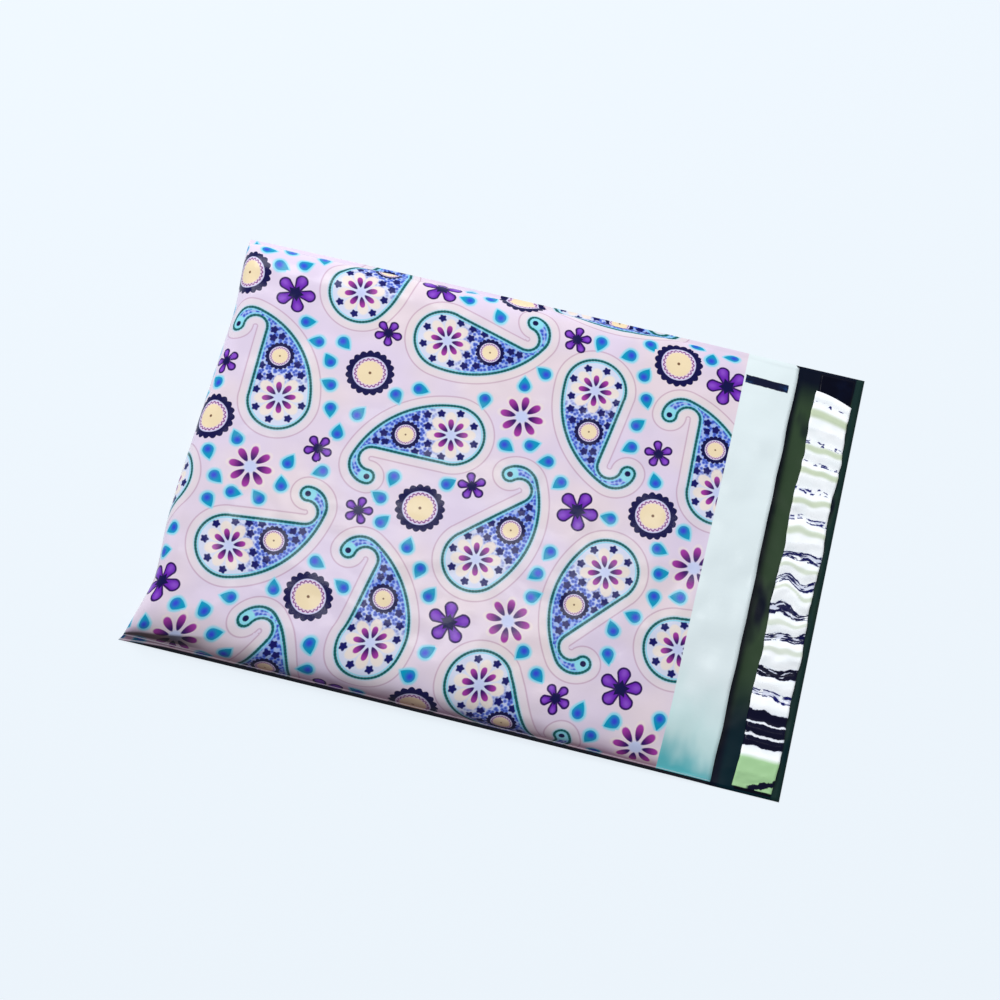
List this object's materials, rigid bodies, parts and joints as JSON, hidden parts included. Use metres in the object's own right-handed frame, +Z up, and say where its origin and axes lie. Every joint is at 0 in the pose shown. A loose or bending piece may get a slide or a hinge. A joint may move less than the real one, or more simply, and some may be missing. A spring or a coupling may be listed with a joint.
{
  "type": "poly mailer bag",
  "caption": "Puffed plastic mailing bag with a traditional leaf-and-flower print, an open mouth and a flat flap that carries a glue strip under a rippled liner.",
  "frame": {"origin": "on the table under the middle of the bag", "axes": "+X along the bag from its folded end to the flap's edge, +Y across it to the far side seam, +Z up out of the printed front"},
  "size_m": [0.368, 0.254, 0.016],
  "materials": {
    "printed_film": "satin to glossy co-extruded film, lilac outside with a blue, teal, purple and cream print, bare pale band by the mouth, near black inside",
    "adhesive": "wet-looking pressure-sensitive glue over the dark inner film",
    "liner_film": "thin glossy clear-white release film, rippled across, dark where it touches the glue"
  },
  "bodies": {
    "root": {"film_bag": "printed_film", "adhesive_strip": "adhesive", "release_liner": "liner_film"}
  },
  "joints": []
}
